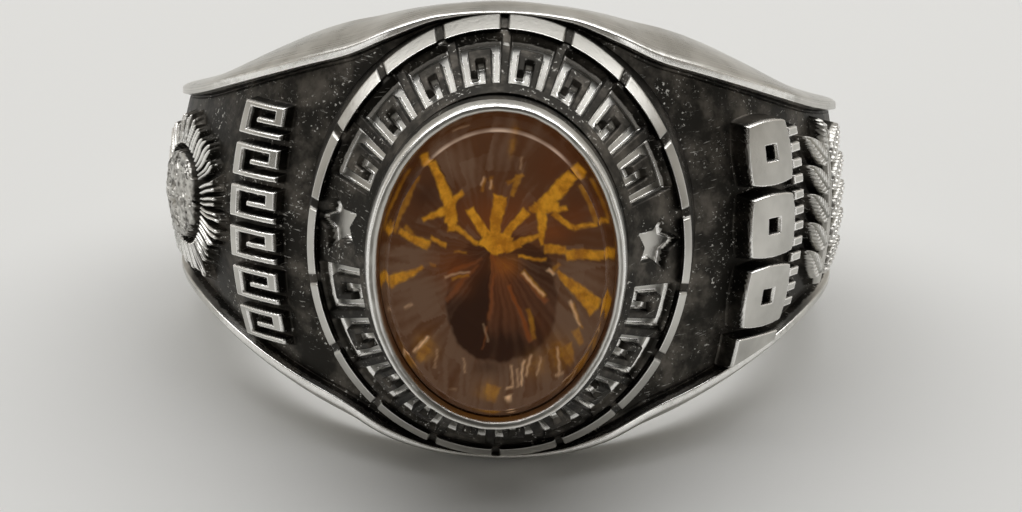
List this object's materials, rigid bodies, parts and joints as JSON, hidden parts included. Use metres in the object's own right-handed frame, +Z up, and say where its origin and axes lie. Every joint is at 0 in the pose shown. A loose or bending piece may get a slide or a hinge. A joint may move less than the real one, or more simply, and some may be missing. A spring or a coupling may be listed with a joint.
{
  "type": "class ring with oval faceted stone, lying on its side",
  "caption": "Cast silver-tone class ring with an oval amber stone in a bezel, a raised fret border, brick edging and ornamented shoulders.",
  "frame": {"origin": "middle of the footprint of the ring's box, on the surface that the ring lies on", "axes": "+Z up, +X to the ring's right as one faces the stone; the stone faces -Y and leans up by the lying tilt, the finger hole's axis leans from +Z towards +Y"},
  "size_m": [0.0243, 0.0272, 0.0155],
  "materials": {
    "silver": "satin",
    "gemstone": "polished"
  },
  "bodies": {
    "root": {"ring_casting": "silver", "stone": "gemstone"}
  },
  "joints": []
}
